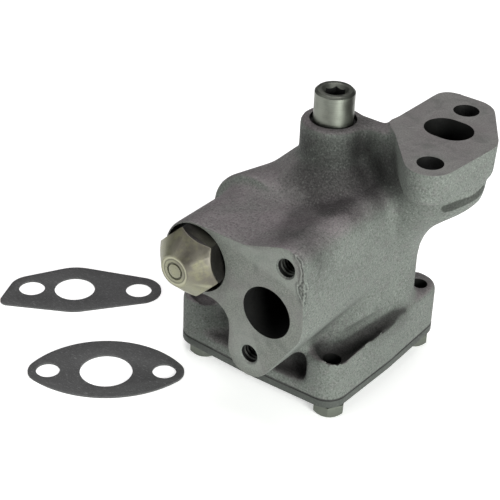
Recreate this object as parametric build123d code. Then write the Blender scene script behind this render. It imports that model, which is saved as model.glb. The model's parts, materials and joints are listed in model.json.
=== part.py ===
from build123d import *
import cmath
import math
import os

# Engine oil pump: a cast-iron body with a block-mounting flange on top, a pickup
# flange on the front, a relief valve beside it and a rotor set under a flat cover.
# The origin is where the drive shaft's axis meets the block-mounting face. +Z runs
# up along the shaft, the pickup flange faces -Y, and the block flange is at +X.

# Drive shaft
SHAFT_R = 6.75
SHAFT_TOP = 8.9
SHAFT_CHAMFER = 0.8
SHAFT_FIT = 0.04
SHAFT_END_GAP = 0.6
SOCKET_ACROSS_FLATS = 6.35
SOCKET_DEPTH = 17.0
SOCKET_MOUTH_R = 4.5

# Rotor set: an outer ring with one lobe more than the inner rotor
OUTER_ROTOR_R = 25.0
RING_WALL_SHARE = 0.204
LOBE_CIRCLE_SHARE = 0.9
LOBE_SHARE = 0.34
ECCENTRICITY_SHARE = 0.112
INNER_LOBES = 4
LOBE_CLEARANCE = 0.08
ROTOR_HEIGHT = 21.9
ROTOR_END_GAP = 0.05
CHAMBER_FIT = 0.08
ROTOR_BORE_FIT = 0.02
POINTS_PER_LOBE = 12
PIN_R = 2.4
PIN_END_WALL = 1.6
PIN_FIT = 0.02

# Heights, measured from the block-mounting face
BOSS_TOP = -1.7
JOINT_Z = -85.85
PAD_TOP = -69.4

# Cover, its bolts and the square base
COVER_THICKNESS = 3.0
BOLT_SPACING_X = 53.7
BOLT_SPACING_Y = 53.4
BOLT_OFFSET_Y = -0.65
BASE_SHIFT = (-1.5, 0.5)
BASE_CORNER_R = 7.2
BASE_MARGIN = 5.4
BASE_PLATE = 4.2
PAD_RUN = 5.0
PAD_ROUND = 1.8
WALL_INSET = 4.9
BOLT_SHANK_R = 3.05
BOLT_FIT = 0.1
BOLT_HOLE_CLEARANCE = 0.25
BOLT_GRIP = 9.0
BOLT_RECESS_R = 5.2
BOLT_RECESS_DEPTH = 3.4
TROUGH_END = (27.4, -9.0, 1.3)
HEAD_ACROSS_FLATS = 10.0
HEAD_HEIGHT = 5.0
HEAD_CROWN = 0.92
WASHER_FACE = 0.5
WASHER_FACE_R = 4.8

# Casting above the chamber
TOWER_WALL = 4.4
TOWER_FOOT = 3.6
TOWER_FOOT_HEIGHT = 9.0
TRUNK_R = 14.3
LOBE_BOSS_R = 8.6
UPPER_LOBE_R = 7.4
SADDLE = (4.0, -27.0, 2.0)
FRONT_INNER_CORNER_R = 8.0
BOSS_R = 10.8
BOSS_FLARE_TOP = -14.0
BOSS_FLARE_BOTTOM = -26.0
BOSS_RECESS_R = 7.9
BOSS_RECESS_DEPTH = 1.6
HUMP_R = 17.2
HUMP_FRONT_Y = -21.0
HUMP_BACK_Y = 4.0

# Block-mounting flange and the neck under it
FLANGE_THICKNESS = 11.5
BLOCK_HOLE_FAR = (32.1, 30.75)
BLOCK_HOLE_NEAR = (42.05, -8.0)
BLOCK_HOLE_R = 4.35
NEAR_LUG_R = 8.2
FAR_LUG_R = 9.5
BACK_CORNER = (23.5, 34.5, 5.5)
INNER_CORNER = (20.2, 9.0, 3.0)
OUTLET_CORNER = (42.0, 14.0, 10.3)
FLANGE_DRAFT = 2.5
BOLT_ROOM_R = 7.8
BOLT_ROOM_DEPTH = 24.0
WEB_END_X = 27.0
WEB_FRONT_Y = 2.0
WEB_BACK_Y = 9.5
WEB_BOTTOM = -30.0
OUTLET_CENTRE = (34.6, 15.5)
OUTLET_LENGTH = 16.8
OUTLET_WIDTH = 13.8
OUTLET_SLOT_DEPTH = 12.0
OUTLET_BORE_R = 6.4
OUTLET_COLUMN = (13.5, 14.0)
OUTLET_ELBOW_Z = -42.0

# Outlet column from the base up to the block flange. Each level is a height and an ellipse:
# its centre, its half length towards the outlet and its half width.
NECK_TURN = 14.4
NECK_LEVELS = [
    (-70.9, 13.7, 11.0, 15.0, 13.4),
    (-52.0, 13.9, 10.6, 14.9, 13.6),
    (-46.0, 15.2, 10.2, 14.5, 13.5),
    (-41.0, 17.1, 10.0, 14.3, 13.3),
    (-37.0, 19.3, 10.0, 14.2, 13.0),
    (-33.5, 21.8, 10.2, 14.3, 12.7),
    (-30.0, 25.0, 10.3, 15.1, 12.5),
    (-27.0, 27.6, 10.4, 16.3, 12.3),
    (-24.0, 29.8, 10.5, 17.3, 12.2),
    (-20.5, 31.6, 10.6, 18.2, 12.1),
    (-16.0, 32.6, 10.6, 18.2, 12.1),
    (-11.0, 33.0, 10.6, 17.9, 12.1),
]

# Pickup flange and inlet passage
INLET_FACE_Y = -50.85
INLET_X = 13.0
INLET_Z = -46.75
INLET_R = 9.2
INLET_HOLE_DX = 6.35
INLET_HOLE_DZ = 19.2
INLET_HOLE_R = 3.2
INLET_HOLE_DEPTH = 14.0
INLET_END_Y = -10.0

# Kidney ports in the chamber roof
PORT_INNER_R = 11.2
PORT_EDGE = 0.3
PORT_HALF_ANGLE = 58.0
PORT_DEPTH = 13.0

# Relief valve: its axis runs along Y beside the inlet
RELIEF_X = -16.0
RELIEF_Z = -38.0
RELIEF_BARREL_R = 13.0
RELIEF_RECESS_R = 12.2
RELIEF_RECESS_DEPTH = 5.0
RELIEF_THREAD_R = 9.0
RELIEF_THREAD_LENGTH = 12.0
RELIEF_THREAD_FIT = 0.03
RELIEF_BORE_R = 7.0
RELIEF_SEAT_Y = -7.0
RELIEF_PORT_R = 4.6
RELIEF_CROSS_R = 3.2
RELIEF_CROSS_Y = 12.5
RELIEF_DUMP_R = 3.4
RELIEF_DUMP_Y = -12.5
RELIEF_DUMP_Z = -42.0
PLUNGER_FIT = 0.05
PLUNGER_LENGTH = 16.0
PLUNGER_WALL = 1.6
PLUNGER_NOSE = 3.0
PLUNGER_SEAT_GAP = 0.05

# Relief plug
PLUG_ACROSS_FLATS = 21.4
PLUG_TURN = 45.0
PLUG_NOSE_R = 5.5
PLUG_NOSE_LENGTH = 7.35
PLUG_FLAT_LENGTH = 5.75
PLUG_HEAD_BACK_Y = -48.5
PLUG_CORNER_R = 12.0
PLUG_NECK_R = 8.6
PLUG_COLLAR_R = 9.6
PLUG_COLLAR_LENGTH = 2.0
PLUG_POCKET_R = 5.9
PLUG_POCKET_DEPTH = 13.0
PLUG_RING_R = 3.1
PLUG_RING_WIDTH = 0.7
PLUG_RING_DEPTH = 0.5

# Relief spring
SPRING_R = 4.3
WIRE_R = 0.75
WIRE_SIDES = 6
SPRING_TURNS = 6
SPRING_END_GAP = 0.05

# Loose gaskets, lying on the surface that the pump stands on
GASKET_THICKNESS = 0.8
INLET_GASKET_CENTRE = (-47.5, -60.2)
INLET_GASKET_ANGLE = 39.1
INLET_GASKET_HOLE_R = 4.15
INLET_GASKET_EAR_R = 7.0
INLET_GASKET_FRONT = 14.9
INLET_GASKET_BACK = 17.7
BLOCK_GASKET_HOLE = (-103.4, -39.5)
BLOCK_GASKET_ANGLE = 38.5
BLOCK_GASKET_HOLE_R = 4.85
BLOCK_GASKET_BORE_R = 7.55
BLOCK_GASKET_BORE_SHIFT = 16.0
BLOCK_GASKET_EAR_R = 8.5
BLOCK_GASKET_MIDDLE_R = 14.7
BLOCK_GASKET_CORNER = (-7.8, -8.0, 3.2)

# Play of a cut past the face that it opens through
THROUGH = 1.0

# Sizes and places worked out from the sizes above
OUTER_ROOT_R = OUTER_ROTOR_R * (1 - RING_WALL_SHARE)
LOBE_CIRCLE_R = OUTER_ROTOR_R * LOBE_CIRCLE_SHARE
LOBE_R = OUTER_ROTOR_R * LOBE_SHARE
ECCENTRICITY = OUTER_ROTOR_R * ECCENTRICITY_SHARE
INNER_ROOT_R = LOBE_CIRCLE_R - LOBE_R - LOBE_CLEARANCE - ECCENTRICITY
PIN_LENGTH = 2 * (INNER_ROOT_R - PIN_END_WALL)
PORT_OUTER_R = OUTER_ROOT_R - PORT_EDGE
TOWER_R = OUTER_ROTOR_R + TOWER_WALL
BASE_MIDDLE_R = TOWER_R + BASE_MARGIN
COVER_BOTTOM_Z = JOINT_Z - COVER_THICKNESS
FLOOR_Z = COVER_BOTTOM_Z - HEAD_HEIGHT
CHAMBER_ROOF_Z = JOINT_Z + ROTOR_HEIGHT + 2 * ROTOR_END_GAP
CHAMBER_X = -ECCENTRICITY
PIN_Z = JOINT_Z + ROTOR_END_GAP + ROTOR_HEIGHT / 2
OUTER_LOBES = INNER_LOBES + 1
RELIEF_FLOOR_Y = INLET_FACE_Y + RELIEF_RECESS_DEPTH
RELIEF_THREAD_END_Y = RELIEF_FLOOR_Y + RELIEF_THREAD_LENGTH
PLUG_END_Y = RELIEF_THREAD_END_Y - 0.5
PLUG_POCKET_FLOOR_Y = PLUG_END_Y - PLUG_POCKET_DEPTH
PLUNGER_NOSE_Y = RELIEF_SEAT_Y - PLUNGER_SEAT_GAP
PLUNGER_FLOOR_Y = PLUNGER_NOSE_Y - PLUNGER_NOSE
BLOCK_SPAN = math.dist(BLOCK_HOLE_FAR, BLOCK_HOLE_NEAR)
INLET_HOLES = [(INLET_X + side * INLET_HOLE_DX, INLET_Z + side * INLET_HOLE_DZ) for side in (-1, 1)]
INLET_HOLE_SHIFT = math.hypot(INLET_HOLE_DX, INLET_HOLE_DZ)
BOLT_PLACES = [
    (CHAMBER_X + side * BOLT_SPACING_X / 2, BOLT_OFFSET_Y + end * BOLT_SPACING_Y / 2)
    for side in (-1, 1)
    for end in (-1, 1)
]
BASE_CENTRE = (CHAMBER_X + BASE_SHIFT[0], BOLT_OFFSET_Y + BASE_SHIFT[1])
BASE_CORNERS = [(x + BASE_SHIFT[0], y + BASE_SHIFT[1]) for x, y in BOLT_PLACES]


def upright(radius, low, high, x=0.0, y=0.0):
    """Cylinder along Z between two heights."""
    return Pos(x, y, (low + high) / 2) * Cylinder(radius, high - low)


def along_y(radius, front, back, x, z):
    """Cylinder along Y between two depths."""
    return Pos(x, (front + back) / 2, z) * Rot(90, 0, 0) * Cylinder(radius, back - front)


def along_x(radius, left, right, y, z):
    """Cylinder along X between two places."""
    return Pos((left + right) / 2, y, z) * Rot(0, 90, 0) * Cylinder(radius, right - left)


def passage(start, end, radius):
    """Round-ended passage between two points."""
    start = Vector(*start)
    run = Vector(*end) - start
    middle = Plane(origin=start + run / 2, z_dir=run)
    tube = middle * Cylinder(radius, run.length)
    for end_point in (start, start + run):
        tube += Pos(end_point) * Sphere(radius)
    return tube


def prism_z(outline, low, high):
    """XY outline extruded between two heights."""
    return Pos(0, 0, low) * extrude(outline, high - low)


def prism_y(outline, front, back):
    """XZ outline, drawn as a sketch with Z upwards, extruded between two depths."""
    front_plane = Plane(origin=(0, front, 0), x_dir=(1, 0, 0), z_dir=(0, -1, 0))
    return extrude(front_plane * outline, front - back)


def hull(*circles):
    """Outline drawn tight round circles, each given as (x, y, radius)."""
    return make_hull([Pos(x, y) * Edge.make_circle(radius) for x, y, radius in circles])


def hexagon(across_flats):
    """Regular hexagon given by its width across the flats."""
    return RegularPolygon(across_flats / 2, 6, major_radius=False)


def base_outline():
    """Cover and joint outline: four round corners and a slightly fuller middle."""
    corners = [(x, y, BASE_CORNER_R) for x, y in BASE_CORNERS]
    return hull(*corners, (*BASE_CENTRE, BASE_MIDDLE_R))


def rounded_top(block, radius):
    """Block with the outer edges of its top face rounded."""
    return fillet(block.faces().sort_by(Axis.Z)[-1].edges(), radius)


def base():
    """Joint plate, tall pads at two bolts and a full-height wall along the other two."""
    solid = prism_z(base_outline(), JOINT_Z, JOINT_Z + BASE_PLATE)
    for x, y in BASE_CORNERS[:2]:
        inward = (Vector(*BASE_CENTRE) - Vector(x, y)).normalized() * PAD_RUN
        pad = hull((x, y, BASE_CORNER_R), (x + inward.X, y + inward.Y, BASE_CORNER_R))
        solid += rounded_top(prism_z(pad, JOINT_Z, PAD_TOP), PAD_ROUND)
    wall_left = BASE_CORNERS[-1][0] - WALL_INSET
    keep = Pos(wall_left + BASE_MIDDLE_R, 0) * Rectangle(2 * BASE_MIDDLE_R, 4 * BASE_MIDDLE_R)
    wall = prism_z(base_outline() & keep, JOINT_Z, PAD_TOP)
    return solid + rounded_top(wall, PAD_ROUND)


def front_outline():
    """XZ outline of the casting's front: pickup flange and relief barrel in one face, with a
    dip between them."""
    low, high = INLET_HOLES
    trunk = hull((*low, LOBE_BOSS_R), (*high, UPPER_LOBE_R), (INLET_X, INLET_Z, TRUNK_R))
    bridge = hull((RELIEF_X, RELIEF_Z, RELIEF_BARREL_R), (INLET_X, RELIEF_Z, RELIEF_BARREL_R))
    outline = trunk + bridge + hull(SADDLE, (*high, UPPER_LOBE_R))
    corner = (INLET_X - TRUNK_R, RELIEF_Z - RELIEF_BARREL_R, 0)
    inner_corner = outline.vertices().sort_by_distance(corner)[0]
    return fillet(inner_corner, FRONT_INNER_CORNER_R)


def upper_casting():
    """Front outline carried back over the chamber, rounded off behind as the tower and neck."""
    run = prism_y(front_outline(), INLET_FACE_Y, TOWER_R + THROUGH)
    ahead = INLET_FACE_Y - 2 * THROUGH
    left = RELIEF_X - RELIEF_BARREL_R
    right = INLET_X + TRUNK_R + LOBE_BOSS_R
    neck_foot = (NECK_LEVELS[0][1], NECK_LEVELS[0][2], NECK_LEVELS[0][4])
    front = [(left, ahead, THROUGH), (right, ahead, THROUGH)]
    plan = hull((CHAMBER_X, 0, TOWER_R), neck_foot, *front)
    return run & prism_z(plan, JOINT_Z, 0.0)


def tower():
    """Round wall of the rotor chamber, with a sloping foot, up to the casting that crosses it."""
    wall = upright(TOWER_R, JOINT_Z, RELIEF_Z - RELIEF_BARREL_R / 2, CHAMBER_X, 0)
    foot = Cone(TOWER_R + TOWER_FOOT, TOWER_R, TOWER_FOOT_HEIGHT)
    return wall + Pos(CHAMBER_X, 0, PAD_TOP - PAD_ROUND + TOWER_FOOT_HEIGHT / 2) * foot


def hump():
    """Raised shoulder on the relief barrel where the cross passage is cored."""
    run = HUMP_BACK_Y - HUMP_FRONT_Y
    cone = Cone(HUMP_R, RELIEF_BARREL_R, run)
    return Pos(RELIEF_X, (HUMP_BACK_Y + HUMP_FRONT_Y) / 2, RELIEF_Z) * Rot(-90, 0, 0) * cone


def shaft_boss():
    """Boss round the shaft, flaring into the shoulder below it."""
    flare_height = BOSS_FLARE_TOP - BOSS_FLARE_BOTTOM
    flare = Cone(BOSS_R + flare_height, BOSS_R, flare_height)
    boss = upright(BOSS_R, BOSS_FLARE_BOTTOM, BOSS_TOP)
    return boss + Pos(0, 0, (BOSS_FLARE_TOP + BOSS_FLARE_BOTTOM) / 2) * flare


def block_flange():
    """Flange plate with a lug at each bolt and a bulge round the outlet."""
    lugs = [(*BLOCK_HOLE_FAR, FAR_LUG_R), (*BLOCK_HOLE_NEAR, NEAR_LUG_R)]
    outline = hull(*lugs, BACK_CORNER, INNER_CORNER, OUTLET_CORNER)
    plate = extrude(outline, -FLANGE_THICKNESS, taper=FLANGE_DRAFT)
    web_depth = WEB_BACK_Y - WEB_FRONT_Y
    web = Pos(WEB_END_X / 2, (WEB_FRONT_Y + WEB_BACK_Y) / 2, (BOSS_TOP + WEB_BOTTOM) / 2)
    return plate + web * Box(WEB_END_X, web_depth, BOSS_TOP - WEB_BOTTOM)


def neck():
    """Outlet column that leans out from the tower and swells into an elbow under the flange."""
    turn = Rot(0, 0, NECK_TURN)
    outlines = [Pos(x, y, z) * turn * Ellipse(long, wide) for z, x, y, long, wide in NECK_LEVELS]
    return loft(outlines, ruled=True)


def kidney(side):
    """Port in the chamber roof, on the suction side (-1) or the delivery side (+1)."""
    reach = 3 * PORT_OUTER_R
    spread = reach * math.tan(math.radians(PORT_HALF_ANGLE))
    wedge = make_face(Polyline((0, 0), (-spread, side * reach), (spread, side * reach), close=True))
    ring = Pos(CHAMBER_X, 0) * Circle(PORT_OUTER_R) - Circle(PORT_INNER_R)
    port = ring & (Pos(CHAMBER_X, 0) * wedge)
    return prism_z(port, CHAMBER_ROOF_Z - THROUGH, CHAMBER_ROOF_Z + PORT_DEPTH)


def inlet_passage():
    """Round inlet with its two tapped holes, ending over the suction port."""
    cut = along_y(INLET_R, INLET_FACE_Y - THROUGH, INLET_END_Y, INLET_X, INLET_Z) + kidney(-1)
    for x, z in INLET_HOLES:
        cut += along_y(INLET_HOLE_R, INLET_FACE_Y - THROUGH, INLET_FACE_Y + INLET_HOLE_DEPTH, x, z)
    return cut


def outlet_passage():
    """Way from the delivery port up the neck to the oval in the block flange."""
    foot = (*OUTLET_COLUMN, CHAMBER_ROOF_Z + PORT_DEPTH)
    elbow = (*OUTLET_COLUMN, OUTLET_ELBOW_Z)
    head = (*OUTLET_CENTRE, -OUTLET_SLOT_DEPTH)
    oval = Pos(*OUTLET_CENTRE) * SlotOverall(OUTLET_LENGTH, OUTLET_WIDTH)
    cut = kidney(1) + prism_z(oval, -OUTLET_SLOT_DEPTH, THROUGH)
    return cut + passage(foot, elbow, OUTLET_BORE_R) + passage(elbow, head, OUTLET_BORE_R)


def relief_passages():
    """Stepped bore for the plug and the plunger, the pressure port and the dump port."""
    steps = [
        (RELIEF_RECESS_R, INLET_FACE_Y - THROUGH, RELIEF_FLOOR_Y),
        (RELIEF_THREAD_R, RELIEF_FLOOR_Y - THROUGH, RELIEF_THREAD_END_Y),
        (RELIEF_BORE_R, RELIEF_THREAD_END_Y - THROUGH, RELIEF_SEAT_Y),
        (RELIEF_PORT_R, RELIEF_SEAT_Y - THROUGH, RELIEF_CROSS_Y),
    ]
    cut = along_x(RELIEF_CROSS_R, RELIEF_X, OUTLET_COLUMN[0], RELIEF_CROSS_Y, RELIEF_Z)
    cut += along_x(RELIEF_DUMP_R, RELIEF_X, INLET_X, RELIEF_DUMP_Y, RELIEF_DUMP_Z)
    for radius, front, back in steps:
        cut += along_y(radius, front, back, RELIEF_X, RELIEF_Z)
    return cut


def block_bolt_holes():
    """Bolt holes through the lugs, with room under each lug for a bolt head."""
    cut = None
    for x, y in (BLOCK_HOLE_FAR, BLOCK_HOLE_NEAR):
        hole = upright(BLOCK_HOLE_R, -FLANGE_THICKNESS - THROUGH, THROUGH, x, y)
        room = upright(BOLT_ROOM_R, -FLANGE_THICKNESS - BOLT_ROOM_DEPTH, -FLANGE_THICKNESS, x, y)
        cut = hole + room if cut is None else cut + hole + room
    return cut


def cover_bolt_holes():
    """Tapped holes up through the pads. Those on the pickup side end in a sunk pocket, and
    the one beside the inlet runs on as a trough along the tower's foot."""
    cut = Part()
    pocket_floor = PAD_TOP - BOLT_RECESS_DEPTH
    for x, y in BOLT_PLACES:
        cut += upright(BOLT_SHANK_R + BOLT_FIT, JOINT_Z - THROUGH, PAD_TOP + THROUGH, x, y)
        if y < 0:
            cut += upright(BOLT_RECESS_R, pocket_floor, PAD_TOP + TOWER_FOOT, x, y)
        if y < 0 < x:
            trough = hull((x, y, BOLT_RECESS_R), TROUGH_END)
            cut += prism_z(trough, pocket_floor, PAD_TOP + TOWER_FOOT)
    return cut


def pump_body():
    """The casting: outer forms first, then the chamber, bores and passages."""
    solid = base() + tower() + upper_casting() + hump() + shaft_boss() + neck() + block_flange()
    solid -= block_bolt_holes()
    solid -= cover_bolt_holes()
    solid -= upright(OUTER_ROTOR_R + CHAMBER_FIT, JOINT_Z - THROUGH, CHAMBER_ROOF_Z, CHAMBER_X, 0)
    solid -= upright(SHAFT_R + SHAFT_FIT, JOINT_Z, BOSS_TOP + THROUGH)
    solid -= upright(BOSS_RECESS_R, BOSS_TOP - BOSS_RECESS_DEPTH, BOSS_TOP + THROUGH)
    solid -= inlet_passage()
    solid -= outlet_passage()
    return solid - relief_passages()


def cover_plate():
    """Flat cover with four clearance holes."""
    plate = prism_z(base_outline(), COVER_BOTTOM_Z, JOINT_Z)
    for x, y in BOLT_PLACES:
        hole_r = BOLT_SHANK_R + BOLT_HOLE_CLEARANCE
        plate -= upright(hole_r, COVER_BOTTOM_Z - THROUGH, JOINT_Z + THROUGH, x, y)
    return plate


def cover_bolt():
    """One hex bolt, head down, drawn at the origin of its own hole."""
    washer_bottom = COVER_BOTTOM_Z - WASHER_FACE
    head = prism_z(hexagon(HEAD_ACROSS_FLATS), FLOOR_Z, washer_bottom)
    dome_height = HEAD_HEIGHT - WASHER_FACE
    crown_r = HEAD_CROWN * HEAD_ACROSS_FLATS / 2
    dome = Cone(crown_r, crown_r + dome_height, dome_height)
    head &= Pos(0, 0, (FLOOR_Z + washer_bottom) / 2) * dome
    washer = upright(WASHER_FACE_R, washer_bottom, COVER_BOTTOM_Z)
    return head + washer + upright(BOLT_SHANK_R, COVER_BOTTOM_Z, JOINT_Z + BOLT_GRIP)


def cover_bolts():
    """The four bolts as separate solids."""
    bolt = cover_bolt()
    return Compound([Pos(x, y, 0) * bolt for x, y in BOLT_PLACES])


def drive_shaft():
    """Ground shaft with a hexagonal drive socket in its top end and a cross hole for the pin."""
    low = JOINT_Z + SHAFT_END_GAP
    shaft = upright(SHAFT_R, low, SHAFT_TOP)
    shaft = chamfer(shaft.edges().sort_by(Axis.Z)[-1], SHAFT_CHAMFER)
    shaft -= prism_z(hexagon(SOCKET_ACROSS_FLATS), SHAFT_TOP - SOCKET_DEPTH, SHAFT_TOP + THROUGH)
    flat_r = SOCKET_ACROSS_FLATS / 2
    mouth_depth = SOCKET_MOUTH_R - flat_r
    mouth = Cone(flat_r, SOCKET_MOUTH_R, mouth_depth)
    shaft -= Pos(0, 0, SHAFT_TOP - mouth_depth / 2) * mouth
    return shaft - along_x(PIN_R + PIN_FIT, -SHAFT_R - THROUGH, SHAFT_R + THROUGH, 0, PIN_Z)


def inner_profile():
    """Face whose edge stays in touch with every lobe of the outer ring as both turn.

    Seen from the inner rotor, a lobe's centre runs along a trochoid. The edge is that
    path moved inwards by the lobe's radius, drawn once from valley to valley and repeated.
    """
    offset = LOBE_R + LOBE_CLEARANCE
    pitch = 2 * math.pi / INNER_LOBES
    points = []
    for step in range(POINTS_PER_LOBE + 1):
        turn = pitch * step / POINTS_PER_LOBE
        carrier = LOBE_CIRCLE_R * cmath.rect(1, turn)
        wobble = ECCENTRICITY * cmath.rect(1, OUTER_LOBES * turn)
        travel = 1j * (carrier - OUTER_LOBES * wobble)
        point = carrier - wobble + 1j * offset * travel / abs(travel)
        points.append((point.real, point.imag))
    ends = [(0, 1), (-math.sin(pitch), math.cos(pitch))]
    lobe = Spline(*points, tangents=ends)
    lobes = [Rot(0, 0, math.degrees(pitch) * place) * lobe for place in range(INNER_LOBES)]
    return make_face(lobes)


def inner_rotor():
    """Four-lobed rotor with the shaft's bore and the pin's cross hole."""
    low = JOINT_Z + ROTOR_END_GAP
    rotor = prism_z(inner_profile(), low, low + ROTOR_HEIGHT)
    rotor -= upright(SHAFT_R + ROTOR_BORE_FIT, low - THROUGH, low + ROTOR_HEIGHT + THROUGH)
    return rotor - along_x(PIN_R + PIN_FIT, -PIN_LENGTH / 2, PIN_LENGTH / 2, 0, PIN_Z)


def outer_rotor():
    """Five-lobed ring that runs in the chamber, drawn with one lobe at the point of full mesh."""
    ring = Circle(OUTER_ROTOR_R) - Circle(OUTER_ROOT_R)
    for lobe in range(OUTER_LOBES):
        turn = 360 * lobe / OUTER_LOBES
        ring += Rot(0, 0, turn) * Pos(LOBE_CIRCLE_R, 0) * Circle(LOBE_R) & Circle(OUTER_ROTOR_R)
    low = JOINT_Z + ROTOR_END_GAP
    return Pos(CHAMBER_X, 0, 0) * prism_z(ring, low, low + ROTOR_HEIGHT)


def rotor_pin():
    """Cross pin through the shaft and the inner rotor."""
    return along_x(PIN_R, -PIN_LENGTH / 2 + PIN_FIT, PIN_LENGTH / 2 - PIN_FIT, 0, PIN_Z)


def relief_plunger():
    """Hollow plunger, closed at its pressure end."""
    radius = RELIEF_BORE_R - PLUNGER_FIT
    skirt_y = PLUNGER_NOSE_Y - PLUNGER_LENGTH
    cup = along_y(radius, skirt_y, PLUNGER_NOSE_Y, RELIEF_X, RELIEF_Z)
    inside_r = radius - PLUNGER_WALL
    return cup - along_y(inside_r, skirt_y - THROUGH, PLUNGER_FLOOR_Y, RELIEF_X, RELIEF_Z)


def relief_spring():
    """Coil spring from the plunger's floor to the floor of the plug's pocket."""
    start_y = PLUG_POCKET_FLOOR_Y + WIRE_R + SPRING_END_GAP
    end_y = PLUNGER_FLOOR_Y - WIRE_R - SPRING_END_GAP
    length = end_y - start_y
    helix = Helix(pitch=length / SPRING_TURNS, height=length, radius=SPRING_R)
    section = Plane(helix @ 0, z_dir=helix % 0) * RegularPolygon(WIRE_R, WIRE_SIDES)
    wire = sweep(section, path=helix, is_frenet=True)
    return Pos(RELIEF_X, start_y, RELIEF_Z) * Rot(-90, 0, 0) * wire


def relief_plug():
    """Hex plug with a tapered nose, a collar on the recess floor and a pocket for the spring."""
    hex_front_y = PLUG_HEAD_BACK_Y - PLUG_FLAT_LENGTH
    nose_y = hex_front_y - PLUG_NOSE_LENGTH
    corner_r = PLUG_ACROSS_FLATS / math.sqrt(3)
    outline = Pos(RELIEF_X, RELIEF_Z) * Rot(0, 0, PLUG_TURN) * hexagon(PLUG_ACROSS_FLATS)
    head = prism_y(outline, nose_y, PLUG_HEAD_BACK_Y)
    nose = Pos(RELIEF_X, (nose_y + hex_front_y) / 2, RELIEF_Z) * Rot(-90, 0, 0)
    taper = nose * Cone(PLUG_NOSE_R, corner_r, PLUG_NOSE_LENGTH)
    land = along_y(PLUG_CORNER_R, hex_front_y, PLUG_HEAD_BACK_Y, RELIEF_X, RELIEF_Z)
    plug = head & (taper + land)
    plug += along_y(PLUG_NECK_R, PLUG_HEAD_BACK_Y, RELIEF_FLOOR_Y, RELIEF_X, RELIEF_Z)
    collar_y = RELIEF_FLOOR_Y - PLUG_COLLAR_LENGTH
    plug += along_y(PLUG_COLLAR_R, collar_y, RELIEF_FLOOR_Y, RELIEF_X, RELIEF_Z)
    thread_r = RELIEF_THREAD_R - RELIEF_THREAD_FIT
    plug += along_y(thread_r, RELIEF_FLOOR_Y, PLUG_END_Y, RELIEF_X, RELIEF_Z)
    plug -= along_y(PLUG_POCKET_R, PLUG_POCKET_FLOOR_Y, PLUG_END_Y + THROUGH, RELIEF_X, RELIEF_Z)
    ring_back = nose_y + PLUG_RING_DEPTH
    ring = along_y(PLUG_RING_R, nose_y - THROUGH, ring_back, RELIEF_X, RELIEF_Z)
    island_r = PLUG_RING_R - PLUG_RING_WIDTH
    ring -= along_y(island_r, nose_y - 2 * THROUGH, ring_back + THROUGH, RELIEF_X, RELIEF_Z)
    return plug - ring


def flat_gasket(outline, holes):
    """Gasket sheet on the floor, with round holes given as (x, y, radius)."""
    sheet = prism_z(outline, FLOOR_Z, FLOOR_Z + GASKET_THICKNESS)
    for x, y, radius in holes:
        sheet -= upright(radius, FLOOR_Z - THROUGH, FLOOR_Z + GASKET_THICKNESS + THROUGH, x, y)
    return sheet


def bowed_half(half_span, ear_r, reach):
    """Half of an eye shape: an arc over the middle that runs smoothly into both ears."""
    rise = reach - ear_r
    drop = (half_span**2 - rise**2) / (2 * rise)
    radius = drop + reach
    half_length = half_span * radius / (radius - ear_r)
    strip = Pos(0, radius / 2) * Rectangle(2 * half_length, radius)
    return Pos(0, -drop) * Circle(radius) & strip


def inlet_gasket():
    """Eye-shaped gasket of the pickup flange, a little fuller on its back side."""
    shift = INLET_HOLE_SHIFT
    outline = Circle(INLET_R)
    for x in (-shift, shift):
        outline += Pos(x, 0) * Circle(INLET_GASKET_EAR_R)
    outline += bowed_half(shift, INLET_GASKET_EAR_R, INLET_GASKET_BACK)
    outline += Rot(0, 0, 180) * bowed_half(shift, INLET_GASKET_EAR_R, INLET_GASKET_FRONT)
    holes = [(-shift, 0, INLET_GASKET_HOLE_R), (shift, 0, INLET_GASKET_HOLE_R), (0, 0, INLET_R)]
    return Pos(*INLET_GASKET_CENTRE) * Rot(0, 0, INLET_GASKET_ANGLE) * flat_gasket(outline, holes)


def block_gasket():
    """Gasket of the block-mounting face, with its oil hole nearer to one end."""
    outline = hull(
        (0, 0, BLOCK_GASKET_EAR_R),
        (BLOCK_SPAN, 0, BLOCK_GASKET_EAR_R),
        (BLOCK_GASKET_BORE_SHIFT, 0, BLOCK_GASKET_MIDDLE_R),
        BLOCK_GASKET_CORNER,
    )
    holes = [
        (0, 0, BLOCK_GASKET_HOLE_R),
        (BLOCK_SPAN, 0, BLOCK_GASKET_HOLE_R),
        (BLOCK_GASKET_BORE_SHIFT, 0, BLOCK_GASKET_BORE_R),
    ]
    return Pos(*BLOCK_GASKET_HOLE) * Rot(0, 0, BLOCK_GASKET_ANGLE) * flat_gasket(outline, holes)


PIECES = [
    pump_body,
    cover_plate,
    cover_bolts,
    drive_shaft,
    inner_rotor,
    outer_rotor,
    rotor_pin,
    relief_plunger,
    relief_spring,
    relief_plug,
    inlet_gasket,
    block_gasket,
]

os.makedirs("parts", exist_ok=True)
for piece in PIECES:
    export_step(piece(), f"parts/{piece.__name__}.step")
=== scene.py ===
"""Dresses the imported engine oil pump: cast body, machined faces, steel parts, gaskets, studio."""

import json
import math

import bmesh
import bpy
from mathutils import Matrix, Vector

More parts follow.
